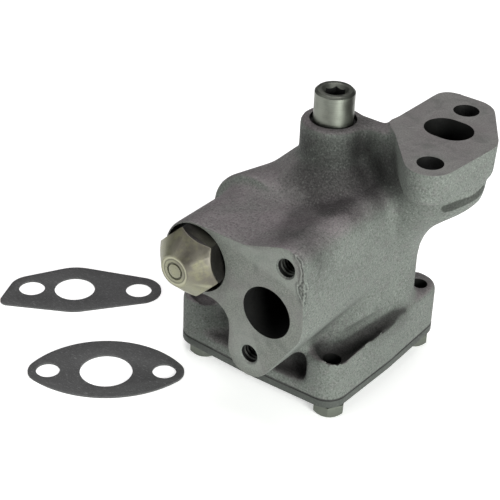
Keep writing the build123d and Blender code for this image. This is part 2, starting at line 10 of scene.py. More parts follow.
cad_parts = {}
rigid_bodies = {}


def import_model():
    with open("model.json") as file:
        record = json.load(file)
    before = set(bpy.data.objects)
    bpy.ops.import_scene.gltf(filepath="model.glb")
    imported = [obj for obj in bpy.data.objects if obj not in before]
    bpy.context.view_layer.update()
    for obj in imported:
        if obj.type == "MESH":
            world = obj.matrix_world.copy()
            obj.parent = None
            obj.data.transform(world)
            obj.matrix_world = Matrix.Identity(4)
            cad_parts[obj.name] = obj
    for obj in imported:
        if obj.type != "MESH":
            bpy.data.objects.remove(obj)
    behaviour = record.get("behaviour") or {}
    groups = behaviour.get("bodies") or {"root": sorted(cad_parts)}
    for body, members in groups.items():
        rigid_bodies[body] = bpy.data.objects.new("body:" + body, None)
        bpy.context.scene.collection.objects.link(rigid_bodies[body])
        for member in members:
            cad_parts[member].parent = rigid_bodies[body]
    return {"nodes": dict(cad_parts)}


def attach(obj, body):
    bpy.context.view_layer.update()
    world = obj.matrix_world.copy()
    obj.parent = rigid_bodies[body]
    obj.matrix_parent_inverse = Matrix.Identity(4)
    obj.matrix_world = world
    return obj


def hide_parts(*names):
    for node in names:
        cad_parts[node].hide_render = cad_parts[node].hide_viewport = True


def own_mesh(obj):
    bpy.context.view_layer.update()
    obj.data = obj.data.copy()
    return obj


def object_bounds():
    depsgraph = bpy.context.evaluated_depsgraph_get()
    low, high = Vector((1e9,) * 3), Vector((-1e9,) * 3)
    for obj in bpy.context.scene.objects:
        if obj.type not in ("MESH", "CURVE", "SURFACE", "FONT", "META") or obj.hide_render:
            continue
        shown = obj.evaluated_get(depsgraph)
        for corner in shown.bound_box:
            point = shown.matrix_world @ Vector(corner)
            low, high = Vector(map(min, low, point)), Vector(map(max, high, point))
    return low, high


bl_info = {
    "name": "Engine oil pump",
    "version": (1, 0, 0),
    "blender": (4, 5, 0),
    "location": "View3D > Sidebar > Oil pump",
    "description": "Models and finishes an engine oil pump with its two loose gaskets",
    "category": "Object",
}

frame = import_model()
cad_box = [list(corner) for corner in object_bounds()]

# Planes and axes of the pump, in millimetres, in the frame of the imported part
BLOCK_FACE_Z = 0.0
PICKUP_FACE_Y = -50.85
JOINT_FACE_Z = -85.85
BOSS_TOP_Z = -1.7
CHAMBER_ROOF_Z = -63.85
CHAMBER_X = -2.8
FLANGE_UNDERSIDE_Z = -11.5
POCKET_FLOOR_Z = -72.8
PAD_TOP_Z = -69.4
RECESS_FLOOR_Y = -45.85
TAPPED_END_Y = -36.85
BLOCK_HOLES = [(32.1, 30.75), (42.05, -8.0)]
OUTLET = (34.6, 15.5)
OUTLET_FOOT = (13.5, 14.0, -50.85)
OUTLET_ELBOW = (13.5, 14.0, -42.0)
INLET = (13.0, -46.75)
TAPPED_HOLES = [(6.65, -65.95), (19.35, -27.55)]
RELIEF = (-16.0, -38.0)
COVER_BOLTS = [(-29.65, -27.35), (-29.65, 26.05), (24.05, -27.35), (24.05, 26.05)]
BLIND_CORNER = COVER_BOLTS[0]

# How far each machined face is carried out while the cast skin is softened
BLOCK_FACE_REACH = 3.0
FRONT_REACH = 0.7
JOINT_FACE_REACH = 1.6

# Radius of each bore, and of the bar that stops it up while the skin is softened
BLOCK_HOLE_R, BLOCK_HOLE_STOP_R = 4.35, 4.9
OUTLET_R, OUTLET_STOP_R = 6.9, 9.2
INLET_R, INLET_STOP_R = 9.2, 9.7
TAP_DRILL_R, TAP_DRILL_STOP_R = 3.2, 3.8
PLUG_RECESS_R, PLUG_RECESS_STOP_R = 12.2, 12.6
BOSS_RECESS_R, BOSS_STOP_R = 7.9, 8.5
CHAMBER_R, CHAMBER_STOP_R = 25.08, 25.7
BOLT_HOLE_R, BOLT_HOLE_STOP_R = 3.15, 3.9
SHAFT_BORE_R = 6.79
PASSAGE_R = 6.4
OUTLET_HALF_STRETCH = 1.5

# Passages of the relief valve: radius, start and end
RELIEF_PASSAGES = [
    (9.0, (-16.0, -46.5, -38.0), (-16.0, -33.85, -38.0)),
    (7.0, (-16.0, -34.5, -38.0), (-16.0, -7.0, -38.0)),
    (4.6, (-16.0, -8.0, -38.0), (-16.0, 12.5, -38.0)),
    (3.2, (-16.0, 12.5, -38.0), (13.5, 12.5, -38.0)),
    (3.4, (-16.0, -12.5, -42.0), (13.0, -12.5, -42.0)),
]

# Kidney ports in the chamber roof
PORT_INNER_R = 11.2
PORT_OUTER_R = 19.6
PORT_HEIGHT = 13.0
PORT_HALF_ANGLE = 58.0

# Taper of the pocket along the base's wall: place and radius at both ends
POCKET_START, POCKET_START_R = (24.6, -23.0, -68.9), 3.9
POCKET_END, POCKET_END_R = (31.6, 8.5, -65.6), 3.1

# Screw threads of the tapped holes, 18 to the inch
THREAD_PITCH = 25.4 / 18
THREAD_TURNS = 8
THREAD_CREST_R = 3.22
THREAD_WALL_R = 3.35

# Edge rounds in millimetres, and as shares of the edge round in the settings
COVER_EDGE = 0.35
GASKET_EDGE = 0.12
BOLT_EDGE_SHARE = 0.8
PLUG_EDGE_SHARE = 1.2

# Darkening in the hollow between the boss and the block flange and down the trunk's front, as
# chains of places: painted shade in the hollow, and a darker patch on the boss
BOSS_HOLLOW_DARKENING = [
    ((3.0, -13.0, -17.0), (24.0, 1.0, -14.0)),
    ((8.0, -14.0, -21.0), (15.0, -19.0, -21.0)),
    ((0.0, -6.0, -9.0), (8.0, 0.0, -8.0)),
    ((8.0, -20.0, -31.0), (18.0, -42.0, -28.0)),
]

# Painted shade in the long pocket beside the base's wall, and on the foot of the block flange under
# its edge
POCKET_SHADE = [
    ((20.8, -27.4, -71.8), (22.5, -25.0, -73.0), (25.5, -15.0, -72.5), (29.8, 6.0, -70.5))
]
FLANGE_FOOT = [((43.6, 3.2, -21.2), (46.8, 6.0, -18.9), (50.4, 13.2, -15.8))]

# Fine scar that the mould left on the edge of the pickup flange
SCAR_FORK = (26.1, -50.8, -29.4)
SCAR_BEND = (24.7, -50.9, -32.2)
SCAR_END = (27.1, -50.0, -37.9)
CASTING_SCAR = [
    ((23.3, -50.9, -21.2), (25.4, -50.9, -24.6), SCAR_FORK, SCAR_BEND),
    (SCAR_BEND, (25.5, -50.9, -34.8), SCAR_END),
    (SCAR_FORK, (27.1, -49.3, -32.6), SCAR_END),
    (SCAR_BEND, (27.1, -50.2, -34.0)),
    ((25.6, -50.9, -31.0), (26.3, -50.9, -34.6)),
]

# Rings on the nose of the relief plug: radius, half width and share of the plug's colour
NOSE_RINGS = [(2.75, 0.50, 0.22), (4.15, 0.22, 0.45), (4.75, 0.35, 1.5)]

# Camera and light: angles in degrees (azimuth, pitch, roll), places and sizes in millimetres
CAMERA_ANGLES = (36.17, 32.1, 2.36)
CAMERA_PLACE = (243.44, -376.24, 226.55)
LIGHT_TARGET = (5.0, -5.0, -45.0)
SOFTBOXES = [
    ("right_softbox", "key_watts", (760.0, -330.0, 170.0), 360.0, 420.0, (0.97, 1.0, 0.96)),
    ("left_softbox", "fill_watts", (-420.0, -620.0, 240.0), 420.0, 520.0, (0.98, 1.0, 0.97)),
    ("top_softbox", "top_watts", (-60.0, 120.0, 720.0), 620.0, 620.0, (1.0, 0.97, 0.99)),
]


def mm(value):
    """Millimetres as the scene's metres."""
    return value / 1000


def point(x, y, z):
    """A place given in millimetres."""
    return Vector((mm(x), mm(y), mm(z)))


# Working with objects


def deselect():
    """Clears the selection of objects."""
    bpy.ops.object.select_all(action="DESELECT")


def enter_edit():
    """Goes into edit mode on the active object."""
    bpy.ops.object.mode_set(mode="EDIT")


def edit_all():
    """Goes into edit mode with the whole mesh selected."""
    enter_edit()
    bpy.ops.mesh.select_all(action="SELECT")


def leave_edit():
    """Goes back to object mode."""
    bpy.ops.object.mode_set(mode="OBJECT")


def add_to_scene(thing):
    """Links a new object to the scene."""
    bpy.context.scene.collection.objects.link(thing)


def work_on(piece):
    """Leaves one object selected and active."""
    if bpy.context.object and bpy.context.object.mode != "OBJECT":
        leave_edit()
    deselect()
    piece.select_set(True)
    bpy.context.view_layer.objects.active = piece


def copy_of_node(node, name):
    """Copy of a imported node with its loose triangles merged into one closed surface."""
    source = frame["nodes"][node]
    piece = bpy.data.objects.new(name, source.data.copy())
    add_to_scene(piece)
    piece.data.materials.clear()
    work_on(piece)
    edit_all()
    bpy.ops.mesh.remove_doubles(threshold=mm(0.001))
    leave_edit()
    return piece


def select_where(piece, kind, wanted):
    """Selects the faces or the corners that a test accepts, in edit mode."""
    bpy.ops.mesh.select_mode(type=kind)
    bpy.ops.mesh.select_all(action="DESELECT")
    shape = bmesh.from_edit_mesh(piece.data)
    for part in shape.faces if kind == "FACE" else shape.verts:
        part.select_set(wanted(part))
    bmesh.update_edit_mesh(piece.data)


def apply_modifier(piece, name, kind, **settings):
    """Adds a modifier with its settings and applies it."""
    work_on(piece)
    modifier = piece.modifiers.new(name, kind)
    for setting, value in settings.items():
        setattr(modifier, setting, value)
    bpy.ops.object.modifier_apply(modifier=modifier.name)


def smooth_by_angle(piece, degrees=35):
    """Shades smooth except at edges sharper than the angle."""
    work_on(piece)
    bpy.ops.object.shade_smooth_by_angle(angle=math.radians(degrees))


def round_edges(piece, width, degrees=28):
    """Breaks the sharp edges of a merged copy with a small round, its width in metres."""
    work_on(piece)
    edit_all()
    bpy.ops.mesh.dissolve_limited(angle_limit=math.radians(0.5))
    leave_edit()
    apply_modifier(
        piece,
        "Edge round",
        "BEVEL",
        width=width,
        segments=3,
        limit_method="ANGLE",
        angle_limit=math.radians(degrees),
        miter_outer="MITER_ARC",
        harden_normals=False,
    )
    smooth_by_angle(piece)


def add_bar(radius, start, end, sides=64):
    """Adds a round bar between two places to the mesh being edited, or as a new object."""
    run = end - start
    bpy.ops.mesh.primitive_cylinder_add(
        vertices=sides,
        radius=mm(radius),
        depth=run.length,
        location=(start + end) / 2,
        rotation=run.to_track_quat("Z", "Y").to_euler(),
    )


def along_y(radius, place, start, end):
    """Radius and ends of a bar along Y, at a place given as (x, z)."""
    x, z = place
    return radius, (x, start, z), (x, end, z)


def along_z(radius, place, start, end):
    """Radius and ends of an upright bar, at a place given as (x, y)."""
    return radius, (*place, start), (*place, end)


def settle(piece):
    """Puts the object's place into its mesh, so that the object sits unturned at the origin."""
    work_on(piece)
    bpy.ops.object.transform_apply(location=True, rotation=True, scale=True)


def finish_piece(piece, body, *nodes, slot=None):
    """Hangs a piece on its body and lets it stand for the nodes that it replaces."""
    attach(piece, body)
    if nodes:
        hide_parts(*nodes)


# Building materials


class Finish:
    """A node material being put together, with short calls for its usual parts."""

    def __init__(self, name):
        self.material = bpy.data.materials.new(name)
        self.material.use_nodes = True
        self.tree = self.material.node_tree
        self.tree.nodes.clear()
        self.shader = self.node("BsdfPrincipled")
        self.link(self.shader.outputs["BSDF"], self.node("OutputMaterial").inputs["Surface"])
        self.place = self.node("TexCoord").outputs["Object"]

    def link(self, start, end):
        self.tree.links.new(start, end)

    def feed(self, socket, value):
        """Links an input to another node, or sets it to a plain level."""
        if isinstance(value, bpy.types.NodeSocket):
            self.link(value, socket)
        else:
            socket.default_value = value

    def node(self, kind, settings=None, **inputs):
        """Adds a shader node; underscores in the name of an input stand for spaces."""
        node = self.tree.nodes.new("ShaderNode" + kind)
        for name, value in (settings or {}).items():
            setattr(node, name, value)
        for name, value in inputs.items():
            self.feed(node.inputs[name.replace("_", " ")], value)
        return node

    def set(self, **levels):
        """Sets plain levels on the shader; underscores in a name stand for spaces."""
        for name, value in levels.items():
            self.shader.inputs[name.replace("_", " ")].default_value = value

    def stretched(self, scale):
        """Object coordinates scaled by a different amount along each axis."""
        return self.node("Mapping", Scale=scale, Vector=self.place).outputs["Vector"]

    def noise(self, size, detail=3.0, roughness=0.55, distortion=0.0, vector=None):
        """Noise whose blotches are about the given size in millimetres."""
        node = self.node("TexNoise", Scale=1 / mm(size), Vector=vector or self.place)
        self.feed(node.inputs["Detail"], detail)
        self.feed(node.inputs["Roughness"], roughness)
        self.feed(node.inputs["Distortion"], distortion)
        return node.outputs["Fac"]

    def cells(self, size):
        """Distance from the middles of cells of about the given size in millimetres."""
        return self.node("TexVoronoi", Scale=1 / mm(size), Vector=self.place).outputs["Distance"]

    def math(self, operation, first, second=None, clamp=False):
        node = self.node("Math", {"operation": operation, "use_clamp": clamp})
        for socket, value in zip(node.inputs, (first, second)):
            if value is not None:
                self.feed(socket, value)
        return node.outputs["Value"]

    def vector(self, operation, *values, output="Vector"):
        """Vector arithmetic on sockets and plain vectors."""
        node = self.node("VectorMath", {"operation": operation})
        for socket, value in zip(node.inputs, values):
            self.feed(socket, value)
        return node.outputs[output]

    def step(self, value, low, high, out_low=0.0, out_high=1.0):
        """Smooth step of a value from one level to another."""
        node = self.node("MapRange", {"interpolation_type": "SMOOTHSTEP"}, Value=value)
        names = ("From Min", "From Max", "To Min", "To Max")
        for name, level in zip(names, (low, high, out_low, out_high)):
            node.inputs[name].default_value = level
        return node.outputs["Result"]

    def ramp(self, value, *stops):
        """Colour ramp with stops given as (position, colour)."""
        node = self.node("ValToRGB", Fac=value)
        elements = node.color_ramp.elements
        while len(elements) < len(stops):
            elements.new(0.5)
        for element, (position, colour) in zip(elements, stops):
            element.position = position
            element.color = (*colour, 1.0)
        return node.outputs["Color"]

    def mix(self, amount, first, second, blend="MIX"):
        """Mixes two colours, each a socket or a plain colour."""
        node = self.node("Mix", {"data_type": "RGBA", "blend_type": blend}, Factor=amount)
        for name, colour in (("A", first), ("B", second)):
            if isinstance(colour, (tuple, list)):
                colour = (*colour, 1.0)
            self.feed(node.inputs[name], colour)
        return node.outputs["Result"]

    def axis(self, letter):
        """One of the three coordinates, in metres."""
        return self.node("SeparateXYZ", Vector=self.place).outputs[letter]

    def facing(self, letter):
        """How far the surface faces along an axis, from -1 to 1."""
        normal = self.node("NewGeometry").outputs["Normal"]
        return self.node("SeparateXYZ", Vector=normal).outputs[letter]

    def corners(self):
        """Pointiness of the surface: above a half on outer corners, below in hollows."""
        return self.node("NewGeometry").outputs["Pointiness"]

    def open_air(self, reach):
        """One where the surface lies open, falling in hollows narrower than the reach."""
        settings = {"samples": 8, "only_local": True}
        return self.node("AmbientOcclusion", settings, Distance=reach).outputs["AO"]

    def warped(self, size, amount):
        """Object coordinates pushed about by noise, both lengths in millimetres."""
        noise = self.node("TexNoise", Scale=1 / mm(size), Vector=self.place).outputs["Color"]
        pushed = self.vector("MULTIPLY_ADD", noise, (mm(amount),) * 3, self.place)
        return self.vector("SUBTRACT", pushed, (mm(amount) / 2,) * 3)

    def near_line(self, start, end, place=None):
        """Distance in metres from the line between two places given in millimetres."""
        start, end = point(*start), point(*end)
        run = end - start
        from_start = self.vector("SUBTRACT", place or self.place, start)
        unit_run = run / run.length_squared
        share = self.vector("DOT_PRODUCT", from_start, unit_run, output="Value")
        share = self.math("ADD", share, 0.0, clamp=True)
        along = self.node("CombineXYZ")
        for letter, length in zip("XYZ", run):
            self.link(self.math("MULTIPLY", share, length), along.inputs[letter])
        return self.vector("DISTANCE", from_start, along.outputs["Vector"], output="Value")

    def nearest(self, chains, place=None):
        """Distance in metres from the nearest of several chains of lines."""
        lines = [line for chain in chains for line in zip(chain, chain[1:])]
        distance = self.near_line(*lines[0], place)
        for line in lines[1:]:
            distance = self.math("MINIMUM", distance, self.near_line(*line, place))
        return distance

    def blotch(self, chains, noise, amount):
        """Distance from the nearest chain, made uneven by noise up to an amount in millimetres."""
        return self.math("ADD", self.nearest(chains), self.math("MULTIPLY", noise, mm(amount)))

    def bump(self, height, depth, strength=1.0, under=None):
        """Bump from a height socket, with the full height given in millimetres."""
        node = self.node("Bump", Strength=strength, Distance=mm(depth), Height=height)
        if under is not None:
            self.link(under, node.inputs["Normal"])
        return node.outputs["Normal"]

    def done(self, colour, roughness, normal):
        """Connects the finished colour, roughness and normal."""
        pairs = (("Base Color", colour), ("Roughness", roughness), ("Normal", normal))
        for name, value in pairs:
            if value is not None:
                self.link(value, self.shader.inputs[name])
        return self.material


def shade(colour, factor):
    """A colour made lighter or darker."""
    return tuple(min(1.0, channel * factor) for channel in colour[:3])


def cast_iron_finish(settings):
    """Sand-cast grey iron: grainy skin, smoother machined faces, rubbed corners, painted shade in
    the hollows and a painted tint on upward faces.
    """
    iron = Finish("sand_cast_iron")
    skin = tuple(settings.skin_colour)
    upper = tuple(settings.upper_painted_tint)
    sand = iron.noise(0.62, detail=4.0, roughness=0.66)
    lumps = iron.noise(3.0, detail=3.0)
    cloud = iron.noise(15.0, detail=3.0, roughness=0.6)
    smudge = iron.noise(6.5, detail=4.0, roughness=0.62, distortion=0.6)
    pits = iron.cells(1.1)
    # Painted light: upward faces take the upper colour, a darker purple tint that stands in for the
    # top light
    skyward_painted_tint = iron.step(iron.facing("Z"), 0.30, 0.90)
    tone = iron.mix(skyward_painted_tint, skin, upper)
    tone = iron.mix(iron.step(cloud, 0.34, 0.68, 0.50, 0.0), tone, shade(skin, 0.72))
    tone = iron.mix(iron.step(lumps, 0.46, 0.70, 0.0, 0.30), tone, shade(upper, 0.66))
    tone = iron.mix(iron.step(sand, 0.34, 0.50, 0.66, 0.0), tone, shade(skin, 0.35))
    tone = iron.mix(iron.step(sand, 0.55, 0.72, 0.0, 0.66), tone, shade(skin, 1.85))
    top = iron.step(iron.axis("Z"), mm(-0.12), mm(-0.04))
    front = iron.step(iron.axis("Y"), mm(PICKUP_FACE_Y + 0.12), mm(PICKUP_FACE_Y + 0.04))
    joint = iron.step(iron.axis("Z"), mm(JOINT_FACE_Z + 0.12), mm(JOINT_FACE_Z + 0.04))
    machined = iron.math("MAXIMUM", iron.math("MAXIMUM", top, front), joint)
    lay = iron.noise(0.42, detail=4.0, roughness=0.62, vector=iron.stretched((0.75, 1.0, 1.0)))
    # The machined top face also takes the painted upward tint
    face_colour = iron.mix(top, tuple(settings.face_colour), shade(upper, 1.04))
    dark_face = iron.mix(0.5, face_colour, shade(settings.face_colour, 0.55))
    light_face = iron.mix(0.5, face_colour, shade(settings.face_colour, 1.55))
    face = iron.mix(iron.step(lay, 0.36, 0.64), dark_face, light_face)
    face = iron.mix(iron.step(cloud, 0.40, 0.62, 0.35, 0.0), face, shade(upper, 0.80))
    face = iron.mix(iron.step(smudge, 0.48, 0.70, 0.0, 0.45), face, shade(skin, 0.50))
    tone = iron.mix(machined, tone, face)
    corners = iron.corners()
    rubbed = iron.step(corners, 0.53, 0.62, 0.0, settings.rubbed)
    tone = iron.mix(rubbed, tone, shade(skin, 1.9))
    # Painted shade: occlusion darkens the hollows towards near-black, less inside the plug's recess
    open_air = iron.open_air(settings.shade_reach)
    grime_and_shade = iron.step(open_air, 0.22, 0.97, settings.grime_and_shade, 0.0)
    round_plug = iron.near_line((RELIEF[0], -50.0, RELIEF[1]), (RELIEF[0], -44.0, RELIEF[1]))
    grime_and_shade = iron.math("MULTIPLY", grime_and_shade, iron.step(round_plug, mm(12.4), mm(13.0), 0.55, 1.0))
    tone = iron.mix(grime_and_shade, tone, shade(upper, 0.07))
    # Painted shade in the hollow by the boss, multiplied in and kept off the machined faces
    reach = iron.blotch(BOSS_HOLLOW_DARKENING, smudge, 6.0)
    dark_patch = iron.step(reach, mm(6.5), mm(16.0), settings.boss_hollow_darkening, 0.0)
    dark_patch = iron.math("MULTIPLY", dark_patch, iron.step(machined, 0.0, 1.0, 1.0, 0.0))
    dark_patch = iron.math("MULTIPLY", dark_patch, iron.step(sand, 0.46, 0.70, 1.0, 0.80))
    tone = iron.mix(dark_patch, tone, (0.10, 0.090, 0.092), blend="MULTIPLY")
    # Painted shade in the pocket under the trunk, weaker on faces that turn to +X
    reach = iron.blotch(POCKET_SHADE, lumps, 2.0)
    pocket = iron.step(reach, mm(3.6), mm(7.4), 0.88, 0.0)
    pocket = iron.math("MULTIPLY", pocket, iron.step(iron.facing("X"), 0.80, 0.97, 1.0, 0.25))
    tone = iron.mix(pocket, tone, (0.10, 0.10, 0.095), blend="MULTIPLY")
    # Painted shade on the flare under the block flange's edge
    reach = iron.blotch(FLANGE_FOOT, lumps, 1.0)
    foot = iron.step(reach, mm(1.9), mm(2.6), 0.85, 0.0)
    tone = iron.mix(foot, tone, (0.14, 0.15, 0.13), blend="MULTIPLY")
    seam = iron.step(iron.axis("Z"), mm(JOINT_FACE_Z + 0.75), mm(JOINT_FACE_Z + 0.25), 0.0, 0.85)
    tone = iron.mix(seam, tone, shade(upper, 0.10))
    scar = iron.nearest(CASTING_SCAR, iron.warped(1.6, 1.5))
    crack = iron.step(scar, mm(0.12), mm(0.34), 0.8, 0.0)
    tone = iron.mix(crack, tone, shade(skin, 0.22))
    lip = iron.step(iron.math("ABSOLUTE", iron.math("SUBTRACT", scar, mm(0.55))), mm(0.25), 0.0)
    tone = iron.mix(iron.math("MULTIPLY", lip, 0.35), tone, shade(skin, 1.7))
    rough = iron.step(sand, 0.30, 0.75, 0.80, 0.55)
    grain = iron.math("MULTIPLY", sand, iron.step(machined, 0.0, 1.0, 1.0, 0.22))
    grain = iron.math("ADD", grain, iron.math("MULTIPLY", pits, 0.25))
    normal = iron.bump(smudge, 0.8, strength=0.5)
    normal = iron.bump(lumps, 0.40, strength=0.5, under=normal)
    normal = iron.bump(grain, 0.20, strength=0.85, under=normal)
    normal = iron.bump(iron.step(scar, mm(0.1), mm(0.6)), 0.35, under=normal)
    normal = iron.bump(iron.step(scar, mm(0.6), mm(1.6), 1.0, 0.0), 0.35, under=normal)
    iron.set(Metallic=0.15, Specular_IOR_Level=0.45)
    return iron.done(tone, rough, normal)


def bore_shade_finish():
    """Near-black walls of the bores and ports, painted shade for the dark inside of the holes, one
    material for all of them.
    """
    if "oil_dark_bore" in bpy.data.materials:
        return bpy.data.materials["oil_dark_bore"]
    wall = Finish("oil_dark_bore")
    film = wall.noise(2.4, detail=3.0)
    tone = wall.ramp(film, (0.35, (0.002, 0.002, 0.002)), (0.7, (0.006, 0.006, 0.0055)))
    wall.set(Metallic=0.0, Specular_IOR_Level=0.25)
    return wall.done(tone, wall.step(film, 0.3, 0.7, 0.75, 0.55), wall.bump(film, 0.05))


def turned_steel_finish(name, colour, axis="Z", roughness=0.24, metallic=1.0, grime_and_shade=0.35):
    """Ground or turned steel with fine lines round its axis."""
    steel = Finish(name)
    fine = {"X": (1.0, 0.02, 0.02), "Y": (0.02, 1.0, 0.02), "Z": (0.02, 0.02, 1.0)}[axis]
    lines = steel.noise(0.16, detail=4.0, roughness=0.7, vector=steel.stretched(fine))
    dark_patch = steel.noise(4.5, detail=4.0, roughness=0.6)
    tone = steel.ramp(
        lines, (0.30, shade(colour, 0.84)), (0.55, colour), (0.80, shade(colour, 1.12))
    )
    tone = steel.mix(steel.step(dark_patch, 0.50, 0.75, 0.0, grime_and_shade), tone, shade(colour, 0.55))
    rough = steel.step(dark_patch, 0.35, 0.75, roughness, roughness + 0.16)
    steel.set(Metallic=metallic)
    return steel.done(tone, rough, steel.bump(lines, 0.012, strength=0.6))


def plated_finish(settings):
    """Dull yellowish zinc on the relief plug: painted shade on the flats and the upper right side,
    brighter cone and small specks.
    """
    zinc = Finish("dull_zinc_plate")
    colour = tuple(settings.plug_colour)
    cloud = zinc.noise(5.0, detail=4.0, roughness=0.65)
    speck = zinc.noise(0.5, detail=3.0)
    tone = zinc.ramp(
        cloud, (0.32, shade(colour, 0.72)), (0.52, colour), (0.72, shade(colour, 1.14))
    )
    # Painted shade: the plug darkens towards its upper right, with a noisy border
    slant = zinc.math("ADD", zinc.axis("X"), zinc.axis("Z"))
    slant = zinc.math("SUBTRACT", slant, mm(RELIEF[0] + RELIEF[1]))
    slant = zinc.math("ADD", slant, zinc.math("MULTIPLY", cloud, mm(8.0)))
    slant_shade = zinc.step(slant, mm(3.0), mm(13.0), 0.0, 0.75)
    tone = zinc.mix(slant_shade, tone, (0.085, 0.072, 0.066))
    yellow = zinc.step(zinc.noise(3.2, detail=3.0), 0.40, 0.74, 0.0, 0.40)
    tone = zinc.mix(yellow, tone, (0.25, 0.25, 0.13))
    relief_x, relief_z = RELIEF
    axis = ((relief_x, -70.0, relief_z), (relief_x, -40.0, relief_z))
    across = zinc.near_line(*axis)
    cone = zinc.math("MULTIPLY", zinc.math("ADD", zinc.axis("Y"), mm(54.25)), 0.933)
    inside_cone = zinc.math("SUBTRACT", zinc.math("ADD", cone, mm(12.36)), across)
    behind_nose = zinc.step(zinc.axis("Y"), mm(-61.0), mm(-60.6))
    flats = zinc.math("MULTIPLY", zinc.step(inside_cone, mm(0.1), mm(0.4)), behind_nose)
    # Painted shade: the hexagon's flats, sunk in the recess, are painted near-black
    tone = zinc.mix(flats, tone, (0.020, 0.0185, 0.017))
    tone = zinc.mix(zinc.step(speck, 0.56, 0.72, 0.0, 0.5), tone, shade(colour, 0.4))
    edge = zinc.step(zinc.corners(), 0.52, 0.60, 0.0, 0.5)
    edge = zinc.math("MULTIPLY", edge, zinc.step(flats, 0.0, 1.0, 1.0, 0.2))
    tone = zinc.mix(edge, tone, shade(colour, 1.35))
    nose = zinc.step(zinc.facing("Y"), -0.95, -0.985)
    across = zinc.near_line(*axis, zinc.warped(1.5, 0.35))
    for radius, half, factor in NOSE_RINGS:
        ring = zinc.math("ABSOLUTE", zinc.math("SUBTRACT", across, mm(radius)))
        ring = zinc.math("MULTIPLY", zinc.step(ring, mm(half * 0.5), mm(half), 0.85, 0.0), nose)
        tone = zinc.mix(ring, tone, shade(colour, factor))
    zinc.set(Metallic=0.65)
    rough = zinc.step(cloud, 0.3, 0.7, 0.34, 0.50)
    return zinc.done(tone, rough, zinc.bump(speck, 0.03, strength=0.5))


def fibre_finish(settings):
    """Compressed gasket fibre: charcoal sheet with pale flecks and a soft felted surface."""
    sheet = Finish("gasket_fibre_sheet")
    colour = tuple(settings.gasket_colour)
    felt = sheet.noise(0.7, detail=5.0, roughness=0.75, distortion=1.4)
    threads = sheet.noise(0.45, detail=2.0, vector=sheet.stretched((0.22, 1.0, 1.0)))
    crossing = sheet.noise(0.45, detail=2.0, vector=sheet.stretched((1.0, 0.25, 1.0)))
    cloud = sheet.noise(14.0, detail=3.0)
    tone = sheet.ramp(cloud, (0.3, shade(colour, 0.85)), (0.7, shade(colour, 1.15)))
    tone = sheet.mix(sheet.step(felt, 0.50, 0.66, 0.0, 0.55), tone, shade(colour, 1.9))
    tone = sheet.mix(sheet.step(threads, 0.60, 0.70, 0.0, 0.55), tone, shade(colour, 2.4))
    tone = sheet.mix(sheet.step(crossing, 0.62, 0.72, 0.0, 0.45), tone, shade(colour, 0.45))
    height = sheet.math("ADD", felt, sheet.math("MULTIPLY", threads, 0.6))
    sheet.set(Specular_IOR_Level=0.3)
    rough = sheet.step(felt, 0.3, 0.7, 0.96, 0.80)
    return sheet.done(tone, rough, sheet.bump(height, 0.07, strength=0.8))


def sintered_finish(name, colour):
    """Pressed and sintered iron of the rotors, with open pores."""
    iron = Finish(name)
    pores = iron.cells(0.5)
    cloud = iron.noise(6.0, detail=3.0)
    tone = iron.ramp(cloud, (0.3, shade(colour, 0.8)), (0.7, shade(colour, 1.15)))
    tone = iron.mix(iron.step(pores, 0.16, 0.05, 0.0, 0.75), tone, shade(colour, 0.35))
    iron.set(Metallic=0.85)
    rough = iron.step(cloud, 0.3, 0.7, 0.34, 0.48)
    return iron.done(tone, rough, iron.bump(pores, 0.03, strength=0.5))


# Settings


class CastingSettings(bpy.types.PropertyGroup):
    """Sizes and colours of the cast body."""

    voxel: bpy.props.FloatProperty(
        name="Skin mesh size", description="Spacing of the mesh that carries the cast skin",
        default=0.0008, unit="LENGTH", subtype="DISTANCE",
    )
    fillet: bpy.props.FloatProperty(
        name="Hollow fillet", description="Radius that fills the hollows where two cast forms meet",
        default=0.0018, unit="LENGTH", subtype="DISTANCE",
    )
    softening: bpy.props.IntProperty(
        name="Softening", description="Rounds of smoothing that soften the cast edges", default=7
    )
    skin_colour: bpy.props.FloatVectorProperty(
        name="Skin colour", description="Middle colour of the sand-cast skin",
        default=(0.130, 0.144, 0.129), size=3, subtype="COLOR",
    )
    # Painted light: colour of upward faces, a tint that stands in for the top light
    upper_painted_tint: bpy.props.FloatVectorProperty(
        name="Upper colour", description="Colour of the cast skin where it faces upwards",
        default=(0.172, 0.152, 0.158), size=3, subtype="COLOR",
    )
    face_colour: bpy.props.FloatVectorProperty(
        name="Machined colour", description="Colour of the machined faces",
        default=(0.130, 0.139, 0.124), size=3, subtype="COLOR",
    )
    rubbed: bpy.props.FloatProperty(
        name="Rubbed corners", description="How far the outer corners are rubbed bright",
        default=0.30, subtype="FACTOR",
    )
    # Painted shade: how dark the hollows are painted
    grime_and_shade: bpy.props.FloatProperty(
        name="Grime", description="How dark the hollows are", default=0.86, subtype="FACTOR"
    )
    # Painted shade: how dark the hollow beside the boss is painted
    boss_hollow_darkening: bpy.props.FloatProperty(
        name="Oil stain", description="How dark the oil stain beside the boss is", default=0.85,
        subtype="FACTOR",
    )
    # Painted shade: width of the hollows that are painted dark
    shade_reach: bpy.props.FloatProperty(
        name="Grime reach", description="Width of the hollows that hold grime", default=0.020,
        unit="LENGTH", subtype="DISTANCE",
    )


